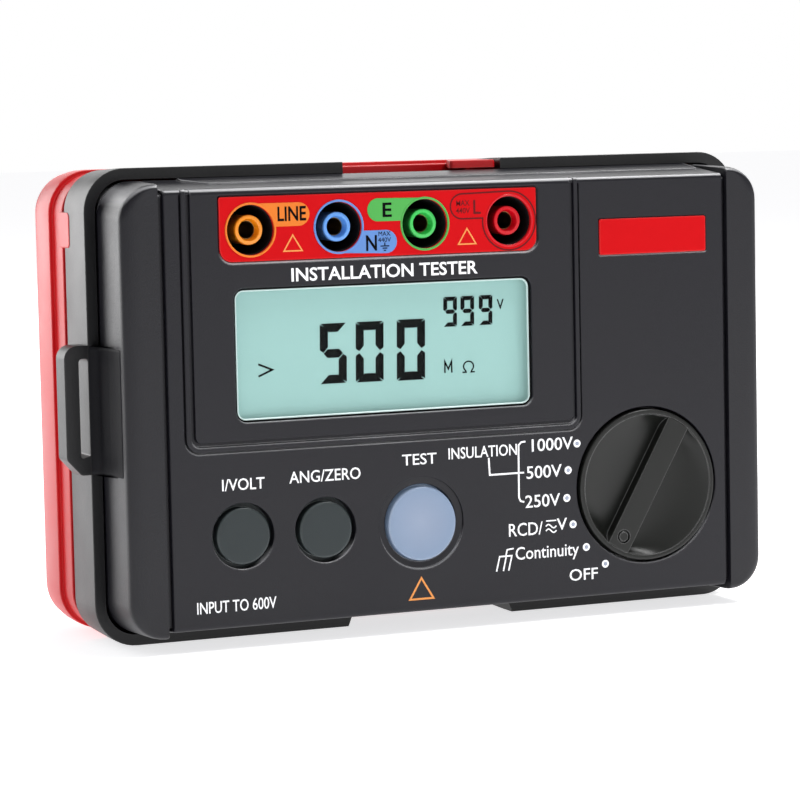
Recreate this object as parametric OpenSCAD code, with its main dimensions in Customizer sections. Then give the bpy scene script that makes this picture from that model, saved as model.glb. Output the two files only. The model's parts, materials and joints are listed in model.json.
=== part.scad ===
// Insulation resistance tester, upright, with its control face towards -Y.
// The frame has +X to the right of someone facing the controls, +Y towards the back and +Z up.
// Its origin is at the middle of the overall footprint, on the surface the tester stands on.
// Depths are measured back from the plane of the control face.

/* [Case] */
// Width across the two guards
case_w = 169.2; // [168:0.2:172]
// Height, from the feet of the guards to their tops
case_h = 110; // [109:0.5:112]
// Depth of the control body in front of the guards
front_depth = 17; // [16.5:0.1:18]
// Depth at which the guards end
guard_end = 34; // [33:0.2:35]
// Depth of the rear case's back face
rear_end = 49.2; // [48.8:0.2:50]
// Wall thickness of the case mouldings
wall = 2.4; // [2:0.1:2.6]
// Thickness of the guards
guard_wall = 2.8; // [2.4:0.1:3]
// Distance from the middle to the seam between the face and a grip
seam_x = 72.3; // [71:0.1:73]

/* [Storage cover] */
// Depth at which the cover's rim starts
rim_depth = 41; // [39:0.5:42]
// Depth of the cover's back
cover_end = 60; // [59:0.5:62]
// Wall thickness of the cover
cover_wall = 2.4; // [2:0.1:2.6]

/* [Display] */
// Width of the display window
window_w = 75; // [72:0.5:76]
// Height of the display window
window_h = 30.5; // [28:0.5:31]

/* [Sockets] */
// Radius of the test sockets' bores
socket_bore_r = 2; // [1.9:0.05:2.05]
// Radius of the recess that takes a plug's shroud
shroud_r = 5.55; // [5.3:0.05:5.6]

/* [Controls] */
// Radius of the selector knob
knob_r = 18.4; // [17:0.1:18.5]
// How far the knob's grip bar stands in front of the face
bar_proud = 2; // [1.5:0.1:4]
// Radius of the two small button caps
button_r = 6.8; // [6:0.1:7]
// Travel of the two small buttons
button_travel = 1.2; // [0.8:0.1:1.4]
// Radius of the test button's cap
test_r = 8.95; // [8.5:0.05:9.2]
// Travel of the test button
test_travel = 1.8; // [1:0.1:1.9]

/* [Cells] */
// Radius of one AA cell
cell_r = 7.1; // [6.9:0.1:7.2]
// Length of one AA cell without its button
cell_l = 49.2; // [48.5:0.1:49.5]

/* [Hidden] */
$fn = 48;

// Y of the face plane: the whole depth, knob bar to cover, is centred on the origin
face_y = -(cover_end - bar_proud) / 2;
mid_z = case_h / 2;
gap = 0.3;                       // clearance between neighbouring mouldings
split = 0.4;                     // half-gap at the parting line, filled by the seal

// Outlines, as full widths and heights
skirt_w = case_w - 2 * guard_wall;
skirt_h = case_h - 2 * guard_wall;
face_h = case_h - 10;            // the front body narrows to this height at the face
core_w = 2 * (seam_x + 7);       // the part of the front case that the grips wrap
core_h = face_h - 3.6;
inside_w = core_w - 2 * wall;
inside_h = face_h - 2 * wall;
gap_half = 20.5;                 // half width of the break in the guards, top and bottom
tail_w = skirt_w - 4.4;          // rear case where the cover passes over it
tail_h = skirt_h - 5.6;
corner_r = 10;

// Display panel: a plate that runs up to the top edge of the face
panel_left = -67.6;
panel_right = 32.4;
panel_bottom = 45.5;
panel_top = mid_z + face_h / 2 - 0.2;
panel_mid_x = (panel_left + panel_right) / 2;
panel_mid_z = (panel_bottom + panel_top) / 2;
panel_w = panel_right - panel_left;
panel_h = panel_top - panel_bottom;
panel_proud = 0.3;
panel_seat = 0.7;
window_x = -17.85;
window_z = 67.05;

// Sockets
strip_x = -18.5;
strip_z = 95.5;
strip_w = 79.8;
strip_h = 14.2;
socket_pitch = 21.72;
socket_x = [for (i = [-1.5 : 1.5]) strip_x + 0.25 + i * socket_pitch];
insert_r = 3.35;                 // coloured insert round each contact
block_front = 1;                 // the socket block's front, just behind the strip
block_floor = 21;                // depth of the shroud recesses
block_back = 24.2;
block_h = 12.9;
block_z = strip_z - 0.35;        // the block's middle, a little low to clear the case seal
contact_front = 3;
contact_back = 23;
sleeve_wall = 0.5;

// Buttons
button_places = [[-54.35, 25.9], [-33.98, 25.9]];
test_place = [-9.73, 25.8];
button_gap = 0.35;
button_proud = 0.5;
test_proud = 1.2;
flange_front = wall + 0.4;       // a button's retaining flange, behind the face
flange_t = 1.2;
flange_extra = 1.2;
stem_r = 2;
plunger_front = 8.8;             // front of a tact switch's plunger
spring_in = 4.6;
spring_out = 5.5;

// Boards
display_front = 12.6;
board_t = 1.6;
main_front = 25;
display_posts = [[-64.5, 16], [5.5, 15.5], [-64, 83], [27, 83]];
display_post_r = 2.6;
main_posts = [for (sx = [-1, 1], sz = [-1, 1]) [sx * 64, mid_z + sz * 33]];
case_posts = [for (sx = [-1, 1], sz = [-1, 1]) [sx * 71.5, mid_z + sz * 41]];
post_r = 3.4;
pilot_r = 1.3;
screw_r = 1.25;

// Selector
knob_place = [49.95, 30.85];
knob_back = 3.6;
knob_gap = 0.4;
recess_depth = 4.4;
recess_wall = 2;
shaft_r = 3;
shaft_clear = 0.05;
bush_r = 4.9;
rotor_r = 12;
rotor_front = 12.2;
rotor_t = 2.2;
wafer_front = 16.2;
pointer_angle = 240;             // where the pointer rests, at OFF
stop_step = 17.6;                // angle between two selector positions
stops = 6;

// Cells
cell_pitch_z = cell_r * 2 + 1;
cell_depth = 39.4;
cell_rows = [for (i = [-1 : 1]) mid_z + i * cell_pitch_z];
tray_w = 112;
tray_h = 48.6;
tray_front = 30.6;
tray_wall = 1.2;
door_w = 116;
door_h = 62;
door_screw_z = 27.6;             // door screws, above and below the middle

// 2D outlines, x across and y up
module rounded_rect(w, h, r) {
    square([w - 2 * r, h], center = true);
    square([w, h - 2 * r], center = true);
    for (sx = [-1, 1], sz = [-1, 1])
        translate([sx * (w / 2 - r), sz * (h / 2 - r)]) circle(r);
}

module ring_2d(outer, inner) {
    difference() {
        circle(outer);
        circle(inner);
    }
}

// Solid of an (x, z) outline between two depths
module prism(front, rear) {
    translate([0, face_y + rear, 0])
        rotate([90, 0, 0])
            linear_extrude(rear - front) children();
}

// Rounded block between two depths, centred on (x, z)
module slab(front, rear, x, z, w, h, r) {
    prism(front, rear) translate([x, z]) rounded_rect(w, h, r);
}

// Plain box between two depths, centred on (x, z)
module brick(front, rear, x, z, w, h) {
    prism(front, rear) translate([x, z]) square([w, h], center = true);
}

// Round bar along Y
module rod(front, rear, x, z, r) {
    prism(front, rear) translate([x, z]) circle(r);
}

module pipe(front, rear, x, z, outer, inner) {
    prism(front, rear) translate([x, z]) ring_2d(outer, inner);
}

// Pan-head screw that enters towards -Y (head_side = 1) or towards +Y (head_side = -1)
module screw(seat, length, x, z, head_side) {
    head_t = 1.8;
    front = head_side > 0 ? seat - length : seat;
    shank = screw_r;
    rod(front, front + length, x, z, shank);
    head_front = head_side > 0 ? seat : seat - head_t;
    difference() {
        rod(head_front, head_front + head_t, x, z, 2.3);
        slot_front = head_side > 0 ? head_front + head_t - 0.8 : head_front - 0.1;
        for (turn = [0, 90])
            prism(slot_front, slot_front + 0.9)
                translate([x, z]) rotate(turn) square([2.6, 0.6], center = true);
    }
}

// ---- case ----

module front_body() {
    // the face block, whose top and bottom flare out to the skirt
    translate([0, face_y, 0])
        rotate([90, 0, 90])
            linear_extrude(2 * seam_x - split, center = true)
                polygon([
                    [0, mid_z - face_h / 2], [0, mid_z + face_h / 2],
                    [front_depth - split, mid_z + skirt_h / 2],
                    [front_depth - split, mid_z - skirt_h / 2]
                ]);
    slab(1.2, front_depth - split, 0, mid_z, core_w, core_h, 6);
}

module front_case() {
    color("#39393c") {
        difference() {
            front_body();
            slab(wall, front_depth, 0, mid_z, inside_w, inside_h, 4);
            // seat, window and socket opening of the display panel
            slab(-1, panel_seat, panel_mid_x, panel_mid_z, panel_w + gap, panel_h + gap, 3);
            slab(-1, wall + 1, window_x, window_z, window_w + 2.4, window_h + 2.4, 2.5);
            brick(-1, wall + 1, strip_x, block_z, strip_w + 1.8, block_h + 0.6);
            for (p = button_places) rod(-1, wall + 1, p[0], p[1], button_r + button_gap);
            rod(-1, wall + 1, test_place[0], test_place[1], test_r + button_gap);
            // shallow rings round the buttons
            for (p = button_places) rod(-1, 0.7, p[0], p[1], button_r + 1);
            rod(-1, 0.7, test_place[0], test_place[1], test_r + 1.7);
            rod(-1, wall + 1, knob_place[0], knob_place[1], knob_r + knob_gap);
            // seat of the badge plate
            brick(-1, 0.5, 52.5, 90.8, 29.4, 9.2);
        }
        // knob recess with the boss that carries the bush
        pipe(1, recess_depth + recess_wall, knob_place[0], knob_place[1],
            knob_r + knob_gap + 2, knob_r + knob_gap);
        pipe(recess_depth, recess_depth + recess_wall, knob_place[0], knob_place[1],
            knob_r + knob_gap + 1, bush_r + 0.05);
        pipe(recess_depth, 10.4, knob_place[0], knob_place[1], bush_r + 2, bush_r + 0.05);
        for (p = display_posts)
            pipe(wall - 0.2, display_front, p[0], p[1], display_post_r, pilot_r);
        for (p = case_posts)
            pipe(wall - 0.2, front_depth - split, p[0], p[1], post_r, pilot_r);
    }
}

// Cap over one end of the front case; side is -1 on the left and 1 on the right
module grip(side) {
    cut_w = 2 * seam_x + split;
    difference() {
        slab(0, front_depth - split, 0, mid_z, skirt_w, skirt_h - 1.2, 8);
        brick(-1, front_depth, -side * case_w / 2, mid_z, case_w + cut_w, case_h + 2);
        slab(1, front_depth, 0, mid_z, core_w + gap, core_h + gap, 6);
    }
}

module left_grip() { color("#2f2f32") grip(-1); }

module right_grip() { color("#2f2f32") grip(1); }

// C-shaped bumper band with a strap loop
module guard(side) {
    loop_out = 90.3;
    loop_low = 40;
    loop_high = 70;
    loop_end = front_depth + 7;
    difference() {
        union() {
            slab(front_depth, guard_end, 0, mid_z, case_w, case_h, corner_r);
            slab(front_depth, loop_end, 0, (loop_low + loop_high) / 2, 2 * loop_out,
                loop_high - loop_low, 3);
        }
        slab(front_depth - 1, guard_end + 1, 0, mid_z, skirt_w, skirt_h, corner_r - 2);
        brick(front_depth - 1, guard_end + 1, -side * (case_w / 2 - gap_half), mid_z,
            case_w, case_h + 2);
        // strap slot
        slab(front_depth - 1, loop_end + 1, side * 85.75, 55.5, 2.1, 23, 0.9);
        // pocket for the cover's snap tab
        brick(28.4, guard_end + 1, side * (case_w / 2), 95.8, 3.4, 9.2);
    }
}

module left_guard() { color("#1c1c1e") guard(-1); }

module right_guard() { color("#1c1c1e") guard(1); }

module rear_case() {
    color("#2b2b2d") {
        difference() {
            union() {
                slab(front_depth + split, guard_end, 0, mid_z, skirt_w - 2 * gap,
                    skirt_h - 2 * gap, corner_r - 2);
                slab(guard_end, rear_end, 0, mid_z, tail_w, tail_h, 8);
            }
            slab(front_depth, rear_end - wall, 0, mid_z, tail_w - 2 * wall,
                tail_h - 2 * wall, 6);
            // battery opening and the door's seat
            brick(rear_end - wall - 1, rear_end + 1, 0, mid_z, tray_w - 1, tray_h - 1);
            slab(rear_end - 1.4, rear_end + 1, 0, mid_z, door_w + 0.6, door_h + 0.6, 4);
            for (p = case_posts) rod(rear_end - wall - 1, rear_end + 1, p[0], p[1], 2.6);
            for (sz = [-1, 1])
                rod(rear_end - wall - 1, rear_end, 0, mid_z + sz * door_screw_z, 1.5);
        }
        for (p = case_posts)
            difference() {
                pipe(front_depth + split, rear_end, p[0], p[1], post_r, screw_r + 0.2);
                rod(rear_end - 3, rear_end + 1, p[0], p[1], 2.6);
            }
        for (p = main_posts)
            pipe(main_front + board_t, rear_end - wall + 0.1, p[0], p[1], post_r, pilot_r);
        for (sz = [-1, 1])
            pipe(39, rear_end - wall + 0.1, 0, mid_z + sz * door_screw_z, 3, pilot_r);
    }
}

module case_seal() {
    color("#151515")
        prism(front_depth - split, front_depth + split)
            difference() {
                translate([0, mid_z]) rounded_rect(core_w, core_h, 6);
                translate([0, mid_z]) rounded_rect(inside_w + 0.4, inside_h - 1.6, 4.6);
            }
}

module case_screws() {
    color("#b5b5b8")
        for (p = case_posts) screw(rear_end - 3, 38, p[0], p[1], 1);
}

// ---- storage cover ----

// One thin slice of the cover's outer form, shrunk by inset
module cover_slice(depth, inset) {
    slab(depth - 0.02, depth, 0, mid_z + 0.2, case_w + 1.2 - 2 * inset,
        case_h - 1.6 - 2 * inset, max(corner_r - inset / 2, 3), $fn = 32);
}

// Outer form of the cover, shrunk by inset and ending short of the back by the same
module cover_form(start, inset) {
    hull() {
        cover_slice(start, inset);
        cover_slice(cover_end - 9 - inset, inset + 0.6);
        cover_slice(cover_end - 4 - inset, inset + 2);
        cover_slice(cover_end - 1.2 - inset, inset + 5);
        cover_slice(cover_end - inset, inset + 8.5);
    }
}

module storage_cover() {
    lip_front = guard_end + 0.4;
    lip_w = case_w - 3.2;
    lip_h = case_h - 5.2;
    lip_t = 2.2;
    color("#d3141a") {
        difference() {
            cover_form(rim_depth, 0);
            cover_form(rim_depth - 0.1, cover_wall);
        }
        // inner lip that slips over the rear case
        difference() {
            slab(lip_front, rim_depth + 2, 0, mid_z, lip_w, lip_h + 2, corner_r - 1);
            slab(lip_front - 1, rim_depth + 3, 0, mid_z, lip_w - 2 * lip_t,
                tail_h + 1.4, corner_r - 2.5);
        }
        // snap tabs at the sides, rooted in the lip
        for (side = [-1, 1]) {
            brick(28.9, lip_front + 1, side * 83.75, 95.8, 1.3, 8.4);
            brick(lip_front, lip_front + 1.8, side * 83.2, 95.8, 2.4, 8.4);
        }
        // thumb tongue in the gap between the guards, on top
        translate([0, face_y, mid_z + skirt_h / 2 + 0.5])
            linear_extrude(1.9)
                polygon([[7.5, 18], [gap_half - 0.6, 18], [gap_half - 0.6, 36], [15, 36]]);
    }
}

// ---- display ----

module display_panel() {
    groove = 0.35;
    color("#343437")
        difference() {
            slab(-panel_proud, panel_seat, panel_mid_x, panel_mid_z, panel_w, panel_h, 3);
            slab(-1, 2, window_x, window_z, window_w, window_h, 2.5);
            slab(-1, 2, strip_x, strip_z, strip_w + 0.4, strip_h + 0.4, 3);
            // border groove
            prism(-1, groove - panel_proud)
                difference() {
                    translate([panel_mid_x, panel_mid_z])
                        rounded_rect(panel_w - 2.2, panel_h + 4, 2.4);
                    translate([panel_mid_x, panel_mid_z])
                        rounded_rect(panel_w - 3.8, panel_h + 2.4, 1.8);
                }
        }
}

module jack_strip() {
    color("#e32228")
        difference() {
            slab(-0.1, panel_seat, strip_x, strip_z, strip_w, strip_h, 3);
            for (x = socket_x) rod(-1, 2, x, strip_z, shroud_r);
        }
}

module badge_plate() {
    color("#d81f26") brick(-0.2, 0.45, 52.5, 90.8, 29, 8.8);
}

module window_lens() {
    color("#dfeeee", 0.4)
        slab(0.9, 2.2, window_x, window_z, window_w + 2, window_h + 2, 2.3);
}

module lcd_glass() {
    color("#a3c9c4") brick(2.6, 4.8, window_x, window_z, window_w + 1, window_h + 1);
}

module lcd_frame() {
    color("#d8d8d2")
        difference() {
            slab(2.5, 11.6, window_x, window_z, window_w + 5, window_h + 5, 1.5);
            brick(0, 13, window_x, window_z, window_w + 1.4, window_h + 1.4);
        }
}

module backlight() {
    color("#f2f6f2") brick(5, 9, window_x, window_z, window_w + 1, window_h - 5);
}

module zebra_strips() {
    color("#e88aa0")
        for (sz = [-1, 1])
            brick(4.9, display_front, window_x, window_z + sz * (window_h / 2 - 0.9),
                window_w - 10, 2);
}

module display_board() {
    color("#1f6b3a")
        difference() {
            slab(display_front, display_front + board_t, -19, 49.5, 97, 73, 2);
            for (p = display_posts) rod(0, 20, p[0], p[1], screw_r + 0.2);
        }
}

module display_board_screws() {
    color("#b5b5b8")
        for (p = display_posts) screw(display_front + board_t, 7, p[0], p[1], 1);
}

module board_connector() {
    color("#26262a")
        brick(display_front + board_t, main_front, -40, 82, 20, 3);
    color("#d7b25a")
        for (i = [0 : 7])
            brick(main_front + board_t, main_front + board_t + 1.2, -48.9 + i * 2.54, 82, 0.6, 0.6);
}

// ---- sockets ----

module jack_block() {
    color("#141416")
        difference() {
            slab(block_front, block_back, strip_x, block_z, strip_w + 1.2, block_h, 1);
            for (x = socket_x) {
                rod(0, block_floor, x, strip_z, shroud_r);
                rod(0, block_back + 1, x, strip_z, insert_r + 0.05);
            }
        }
}

// Coloured insulating insert: a narrow mouth, then the bore that holds the contact
module jack_insert(i) {
    difference() {
        rod(block_front, block_back, socket_x[i], strip_z, insert_r);
        rod(0, contact_front + 1, socket_x[i], strip_z, socket_bore_r + 0.15);
        rod(contact_front, block_back + 1, socket_x[i], strip_z,
            socket_bore_r + sleeve_wall + 0.05);
    }
}

module jack_line() { color("#e89a1c") jack_insert(0); }

module jack_neutral() { color("#5f93d8") jack_insert(1); }

module jack_earth() { color("#3fb24a") jack_insert(2); }

module jack_live() { color("#c4161c") jack_insert(3); }

module jack_contacts() {
    color("#c9a24a")
        for (x = socket_x) {
            pipe(contact_front, contact_back, x, strip_z, socket_bore_r + sleeve_wall,
                socket_bore_r);
            rod(contact_back, contact_back + 0.8, x, strip_z, socket_bore_r + sleeve_wall);
            rod(contact_back + 0.8, main_front + board_t + 1.2, x, strip_z, 0.9);
        }
}

// ---- buttons ----

// Cap with its retaining flange and stem
module button(place, r, proud, travel) {
    rod(-proud, flange_front + 0.1, place[0], place[1], r);
    rod(flange_front, flange_front + flange_t, place[0], place[1], r + flange_extra);
    rod(flange_front, plunger_front - travel - 0.1, place[0], place[1], stem_r);
}

module button_volt() {
    color("#3c4444") button(button_places[0], button_r, button_proud, button_travel);
}

module button_zero() {
    color("#3c4444") button(button_places[1], button_r, button_proud, button_travel);
}

module button_test() {
    color("#9fb8d8") button(test_place, test_r, test_proud, test_travel);
}

module return_spring(place) {
    pipe(flange_front + flange_t + 0.05, display_front - 0.05, place[0], place[1],
        spring_out, spring_in);
}

module spring_volt() { color("#c8c8cc") return_spring(button_places[0]); }

module spring_zero() { color("#c8c8cc") return_spring(button_places[1]); }

module spring_test() { color("#c8c8cc") return_spring(test_place); }

module tact_switches() {
    color("#2a2a2d")
        for (p = concat(button_places, [test_place])) {
            brick(plunger_front + 0.8, display_front, p[0], p[1], 6, 6);
            rod(plunger_front, plunger_front + 0.9, p[0], p[1], 1.6);
        }
}

module test_leds() {
    color("#e8f0ff")
        for (sx = [-1, 1])
            rod(9.4, display_front, test_place[0] + sx * 7.4, test_place[1], 1.4);
}

// ---- selector ----

module knob() {
    bar_w = 8.4;
    pocket_r = 16.4;
    x = knob_place[0];
    z = knob_place[1];
    color("#2f302e")
        difference() {
            union() {
                rod(-0.6, knob_back, x, z, knob_r);
                // the bar, trimmed to the knob's rim
                intersection() {
                    rod(-bar_proud, 0, x, z, knob_r - 0.3);
                    prism(-bar_proud, 0)
                        translate([x, z]) rotate(pointer_angle) square([40, bar_w], center = true);
                }
            }
            // half-moon finger pockets beside the bar
            difference() {
                rod(-3, 2.1, x, z, pocket_r);
                prism(-4, 4)
                    translate([x, z]) rotate(pointer_angle) square([40, bar_w], center = true);
            }
            // pointer mark
            rod(-bar_proud - 1, -bar_proud + 0.4, x + 13.6 * cos(pointer_angle),
                z + 13.6 * sin(pointer_angle), 1.5);
            // socket for the shaft
            rod(1, knob_back + 1, x, z, shaft_r + 0.02);
        }
}

module knob_shaft() {
    color("#c2c2c6") rod(1, wafer_front + 2.4, knob_place[0], knob_place[1], shaft_r);
}

module shaft_bush() {
    color("#c9a24a")
        pipe(recess_depth, 11.4, knob_place[0], knob_place[1], bush_r, shaft_r + shaft_clear);
}

module switch_rotor() {
    color("#e6e2d4")
        difference() {
            rod(rotor_front, rotor_front + rotor_t, knob_place[0], knob_place[1], rotor_r);
            rod(0, 30, knob_place[0], knob_place[1], shaft_r + 0.02);
            // pockets that carry the detent balls
            for (turn = [0, 180])
                prism(rotor_front - 1, rotor_front + rotor_t + 1)
                    translate([knob_place[0], knob_place[1]])
                        rotate(pointer_angle + turn)
                            translate([rotor_r - 1.2, 0]) square([3, 2.5], center = true);
        }
}

module rotor_contacts() {
    contact_start = rotor_front + rotor_t;
    color("#d8b46a")
        for (i = [0 : 2])
            prism(contact_start, wafer_front - 0.15)
                translate([knob_place[0], knob_place[1]])
                    rotate(pointer_angle + 60 + i * 120)
                        translate([8, 0]) square([3.4, 1.4], center = true);
}

module detent_balls() {
    ball_r = 1.1;
    color("#cfcfd4")
        for (turn = [0, 180])
            translate([
                knob_place[0] + (rotor_r - 1.2) * cos(pointer_angle + turn),
                face_y + rotor_front + rotor_t / 2,
                knob_place[1] + (rotor_r - 1.2) * sin(pointer_angle + turn)
            ]) sphere(ball_r);
}

module switch_housing() {
    x = knob_place[0];
    z = knob_place[1];
    color("#d9d5c8")
        difference() {
            rod(11.5, wafer_front - 0.1, x, z, rotor_r + 3.4);
            rod(rotor_front - 0.4, wafer_front + 1, x, z, rotor_r + 0.4);
            rod(10, 13, x, z, bush_r + 0.3);
            // one detent notch for each selector position, on both sides
            for (i = [0 : stops - 1], turn = [0, 180])
                prism(rotor_front - 0.4, wafer_front + 1)
                    translate([x, z])
                        rotate(pointer_angle + turn - i * stop_step)
                            translate([rotor_r + 0.4, 0]) circle(1.1);
        }
}

module switch_wafer() {
    color("#2b7a48")
        difference() {
            slab(wafer_front, wafer_front + board_t, knob_place[0], knob_place[1], 36, 36, 3);
            rod(0, 30, knob_place[0], knob_place[1], shaft_r + 0.4);
        }
    color("#2b2b2d")
        brick(wafer_front + board_t, main_front, knob_place[0] - 14, knob_place[1], 3, 24);
}

// ---- main board ----

module main_board() {
    color("#1f6b3a")
        difference() {
            slab(main_front, main_front + board_t, 0, mid_z, 150, 92, 2);
            for (p = case_posts) rod(0, 40, p[0], p[1], post_r + 0.6);
            for (p = main_posts) rod(0, 40, p[0], p[1], screw_r + 0.2);
            for (x = socket_x) rod(0, 40, x, strip_z, 1);
        }
}

module main_board_screws() {
    color("#b5b5b8")
        for (p = main_posts) screw(main_front, 8, p[0], p[1], -1);
}

module transformer() {
    x = 46;
    z = 74;
    color("#3a3a3c") {
        brick(8.4, main_front, x, z, 26, 5);
        brick(8.4, 11.4, x, z, 26, 18);
        brick(main_front - 3, main_front, x, z, 26, 18);
    }
    color("#d9c23a") brick(11.4, main_front - 3, x, z, 19, 15);
}

module relays() {
    color("#2c62a8")
        for (i = [0 : 2]) slab(15.2, main_front, -50 + i * 16, 66, 12, 20, 0.8);
}

module capacitors() {
    color("#24303f") {
        for (i = [0 : 2]) rod(13.5, main_front, 68, 56 + i * 11, 5);
    }
    color("#7a2f1c")
        for (i = [0 : 1]) slab(17, main_front, 4 + i * 10, 66, 6, 16, 1);
}

module resistors() {
    color("#b9a98a")
        for (i = [0 : 4])
            translate([-52 + i * 9, face_y + main_front - 2.2, 44]) cylinder(h = 10, r = 2.1);
}

module chips() {
    color("#1a1a1c") {
        brick(main_front - 1.6, main_front, -4, 36, 14, 14);
        brick(main_front - 1.8, main_front, -28, 26, 18, 7);
        brick(main_front - 1.8, main_front, 16, 50, 10, 6);
    }
}

module fuses() {
    color("#d9e3e3")
        for (i = [0 : 1])
            translate([-58, face_y + main_front - 4.6, 22 + i * 10])
                rotate([0, 90, 0]) cylinder(h = 20, r = 2.5);
}

module fuse_clips() {
    color("#c8a44e")
        for (i = [0 : 1], x = [-56.5, -41.5])
            difference() {
                brick(main_front - 7.4, main_front, x, 22 + i * 10, 3, 6.6);
                translate([x - 5, face_y + main_front - 4.6, 22 + i * 10])
                    rotate([0, 90, 0]) cylinder(h = 10, r = 2.52);
                brick(main_front - 8, main_front - 4.6, x, 22 + i * 10, 4, 4.2);
            }
}

module buzzer() {
    color("#161618")
        difference() {
            rod(17, main_front, 22, 30, 6);
            rod(16, 18, 22, 30, 1);
        }
}

// ---- battery bay ----

module battery_tray() {
    color("#26262a") {
        difference() {
            brick(tray_front, rear_end - wall - 0.1, 0, mid_z, tray_w, tray_h);
            brick(tray_front + tray_wall, rear_end, 0, mid_z, tray_w - 2 * tray_wall,
                tray_h - 2 * tray_wall);
        }
        brick(tray_front + tray_wall, tray_front + 8, 0, mid_z, 1.2, tray_h - 2 * tray_wall);
    }
}

// One cell lying along X, its button towards +X when way is 1
module cell(x, z, way) {
    translate([x, face_y + cell_depth, z])
        rotate([0, 90 * way, 0]) {
            translate([0, 0, -cell_l / 2]) cylinder(h = cell_l, r = cell_r);
            translate([0, 0, cell_l / 2]) cylinder(h = 1, r = 2.75);
        }
}

module batteries() {
    color("#2f6fb5")
        for (row = [0 : 2], side = [-1, 1])
            cell(side * 28, cell_rows[row], (row % 2 == 0 ? 1 : -1) * side);
}

// A cell's flat end faces the middle or the wall, by turns along the rows
module battery_springs() {
    color("#c8c8cc")
        for (row = [0 : 2], side = [-1, 1]) {
            inward = row % 2 == 0;
            x = side * (inward ? 28 - cell_l / 2 - 1.2 : 28 + cell_l / 2 + 0.9);
            translate([x - 0.8, face_y + cell_depth, cell_rows[row]])
                rotate([0, 90, 0])
                    difference() {
                        cylinder(h = 1.6, r = 4.4);
                        translate([0, 0, -1]) cylinder(h = 4, r = 3.4);
                    }
        }
}

module battery_plates() {
    color("#c8c8cc")
        for (row = [0 : 2], side = [-1, 1]) {
            inward = row % 2 == 1;
            x = side * (inward ? 28 - cell_l / 2 - 1.3 : 28 + cell_l / 2 + 1.3);
            translate([x - 0.25, face_y + cell_depth - 5, cell_rows[row] - 5])
                cube([0.5, 10, 10]);
        }
}

module battery_terminals() {
    color("#c8a44e")
        for (side = [-1, 1])
            brick(main_front + board_t, tray_front, side * 40, mid_z + 18, 3, 0.8);
}

module battery_door() {
    color("#303033")
        difference() {
            union() {
                slab(rear_end - 1.3, rear_end, 0, mid_z, door_w, door_h, 3.7);
                // grip ribs
                for (i = [-2 : 2])
                    brick(rear_end, rear_end + 0.5, i * 4, mid_z + 18, 1.6, 8);
            }
            for (sz = [-1, 1]) rod(40, 60, 0, mid_z + sz * door_screw_z, screw_r + 0.2);
        }
}

module door_screws() {
    color("#b5b5b8")
        for (sz = [-1, 1]) screw(rear_end, 8, 0, mid_z + sz * door_screw_z, 1);
}

front_case();
left_grip();
right_grip();
left_guard();
right_guard();
rear_case();
case_seal();
case_screws();
storage_cover();
display_panel();
jack_strip();
badge_plate();
window_lens();
lcd_glass();
lcd_frame();
backlight();
zebra_strips();
display_board();
display_board_screws();
board_connector();
jack_block();
jack_line();
jack_neutral();
jack_earth();
jack_live();
jack_contacts();
button_volt();
button_zero();
button_test();
spring_volt();
spring_zero();
spring_test();
tact_switches();
test_leds();
knob();
knob_shaft();
shaft_bush();
switch_rotor();
rotor_contacts();
detent_balls();
switch_housing();
switch_wafer();
main_board();
main_board_screws();
transformer();
relays();
capacitors();
resistors();
chips();
fuses();
fuse_clips();
buzzer();
battery_tray();
batteries();
battery_springs();
battery_plates();
battery_terminals();
battery_door();
door_screws();
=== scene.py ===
"""Insulation resistance tester: the visual model on its CAD frame, with light, floor and camera.

Lengths in the shape code are millimetres: x to the right, d back from the control face, z up.
"""

import json
from math import acos, asin, cos, pi, radians, sin, sqrt, tan

import bmesh
import bpy
from mathutils import Matrix, Vector
from mathutils.geometry import tessellate_polygon


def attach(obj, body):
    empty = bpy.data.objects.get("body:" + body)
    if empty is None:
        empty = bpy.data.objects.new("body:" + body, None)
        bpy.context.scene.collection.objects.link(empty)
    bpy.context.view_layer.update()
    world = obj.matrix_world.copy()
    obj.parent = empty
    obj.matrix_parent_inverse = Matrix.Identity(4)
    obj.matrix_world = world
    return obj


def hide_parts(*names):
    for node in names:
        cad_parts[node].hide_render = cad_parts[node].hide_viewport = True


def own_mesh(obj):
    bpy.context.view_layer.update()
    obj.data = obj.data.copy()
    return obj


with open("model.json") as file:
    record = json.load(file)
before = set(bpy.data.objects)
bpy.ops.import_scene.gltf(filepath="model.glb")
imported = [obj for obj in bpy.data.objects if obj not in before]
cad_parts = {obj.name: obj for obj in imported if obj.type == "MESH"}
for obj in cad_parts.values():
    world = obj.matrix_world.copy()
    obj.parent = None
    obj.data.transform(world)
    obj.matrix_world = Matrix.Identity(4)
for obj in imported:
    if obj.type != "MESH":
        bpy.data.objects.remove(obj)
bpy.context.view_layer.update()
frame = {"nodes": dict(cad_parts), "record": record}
cad = frame["nodes"]

MM = 0.001  # metres in a millimetre
FACE_Y = -29.0  # where the control face lies in the frame
TALL = 110  # height over the bumpers
SEAM = 16.6  # depth of the front case and its grips
GUARD_FRONT, GUARD_BACK = 17.0, 34.0
PANEL_FRONT = -0.3
SOCKETS = [-50.83, -29.11, -7.39, 14.33]
SOCKET_Z = 95.5
SMALL_BUTTONS = [(-54.35, 25.9), (-33.98, 25.9)]
TEST_BUTTON = (-9.73, 25.8)
KNOB = (49.95, 30.85)
POINTER = 240  # direction of the knob's mark, in degrees
WINDOW = (-17.85, 67.05, 75, 30.5)  # middle, width and height

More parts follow.
